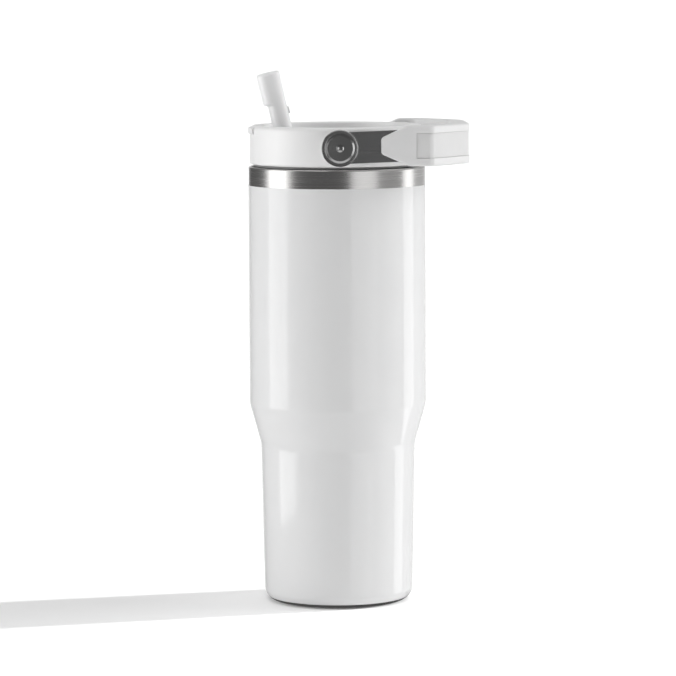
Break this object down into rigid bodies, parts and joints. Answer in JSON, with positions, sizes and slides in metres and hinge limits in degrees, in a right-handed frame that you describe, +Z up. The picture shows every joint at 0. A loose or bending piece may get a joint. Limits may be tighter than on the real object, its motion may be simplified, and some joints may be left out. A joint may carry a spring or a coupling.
{
  "type": "insulated water bottle",
  "caption": "Tall double-walled steel drinking tumbler with a narrowed cup-holder base, screw lid, flip-up straw spout and a rigid swinging carry handle.",
  "frame": {"origin": "centre of the underside, on the flask's axis, in the plane it stands on", "axes": "+Z up along the flask's axis; +X towards the carry handle's grip, -X towards the raised spout; the handle's pivots lie on +Y (back) and -Y (front)"},
  "size_m": [0.1105, 0.0984, 0.2685],
  "materials": {
    "brushed_steel_shell": "fine horizontal brushing",
    "white_powder_coat": "smooth satin-gloss powder coat",
    "steel_liner": "electropolished",
    "copper_foil": "thin bright foil",
    "solder": "dull",
    "getter": "matt",
    "clear_silicone": "soft satin",
    "white_lid_plastic": "satin",
    "clear_straw_plastic": "translucent gloss",
    "translucent_spout_plastic": "translucent satin",
    "white_grip_plastic": "satin",
    "soft_grip_panel": "soft matt",
    "pin_steel": "ground",
    "dark_brushed_arm": "dark fine brushing along the arm",
    "dark_brushed_cap": "turned, circular brushing, bright bevel",
    "bearing_plastic": "smooth",
    "insert_brass": "machined"
  },
  "bodies": {
    "flask": {"outer_shell": "brushed_steel_shell", "powder_coat": "white_powder_coat", "inner_liner": "steel_liner", "liner_floor": "steel_liner", "heat_foil": "copper_foil", "outer_bottom": "steel_liner", "vacuum_seal_plug": "solder", "base_cover": "brushed_steel_shell", "getter_pellet": "getter"},
    "gasket": {"lid_gasket": "clear_silicone"},
    "lid": {"lid_shell": "white_lid_plastic", "flange_ring": "white_lid_plastic", "deck": "white_lid_plastic", "spout_seal": "clear_silicone", "plug_base": "white_lid_plastic", "straw_foot": "clear_straw_plastic", "straw_middle": "clear_straw_plastic", "straw_top": "clear_straw_plastic", "hinge_pin_front": "pin_steel", "hinge_pin_back": "pin_steel", "pivot_bolt_front": "dark_brushed_cap", "pivot_bolt_back": "dark_brushed_cap", "pivot_washer_front": "bearing_plastic", "pivot_washer_back": "bearing_plastic", "pivot_bush_front": "bearing_plastic", "pivot_bush_back": "bearing_plastic", "pivot_insert_front": "insert_brass", "pivot_insert_back": "insert_brass"},
    "spout": {"spout": "translucent_spout_plastic", "vent_stopper": "clear_silicone"},
    "handle": {"handle_arm_front": "dark_brushed_arm", "handle_arm_back": "dark_brushed_arm", "handle_grip": "white_grip_plastic", "grip_panel": "soft_grip_panel"}
  },
  "joints": [
    {"name": "lid_rise", "type": "slide", "parent": "flask", "child": "gasket", "axis": [0, 0, 1], "range_m": [0, 0.005]},
    {"name": "lid_turn", "type": "hinge", "parent": "gasket", "child": "lid", "pos_m": [0, 0, 0.2111], "axis": [0, 0, 1], "range_deg": [0, 360]},
    {"name": "spout_flip", "type": "hinge", "parent": "lid", "child": "spout", "pos_m": [-0.0256, 0, 0.233], "axis": [0, 1, 0], "range_deg": [0, 103.5]},
    {"name": "handle_swing", "type": "hinge", "parent": "lid", "child": "handle", "pos_m": [0, 0, 0.2312], "axis": [0, -1, 0], "range_deg": [-30, 205]}
  ],
  "couplings": [
    {"joint": "lid_rise", "follows": "lid_turn", "m_per_rad": 0.00079577}
  ]
}
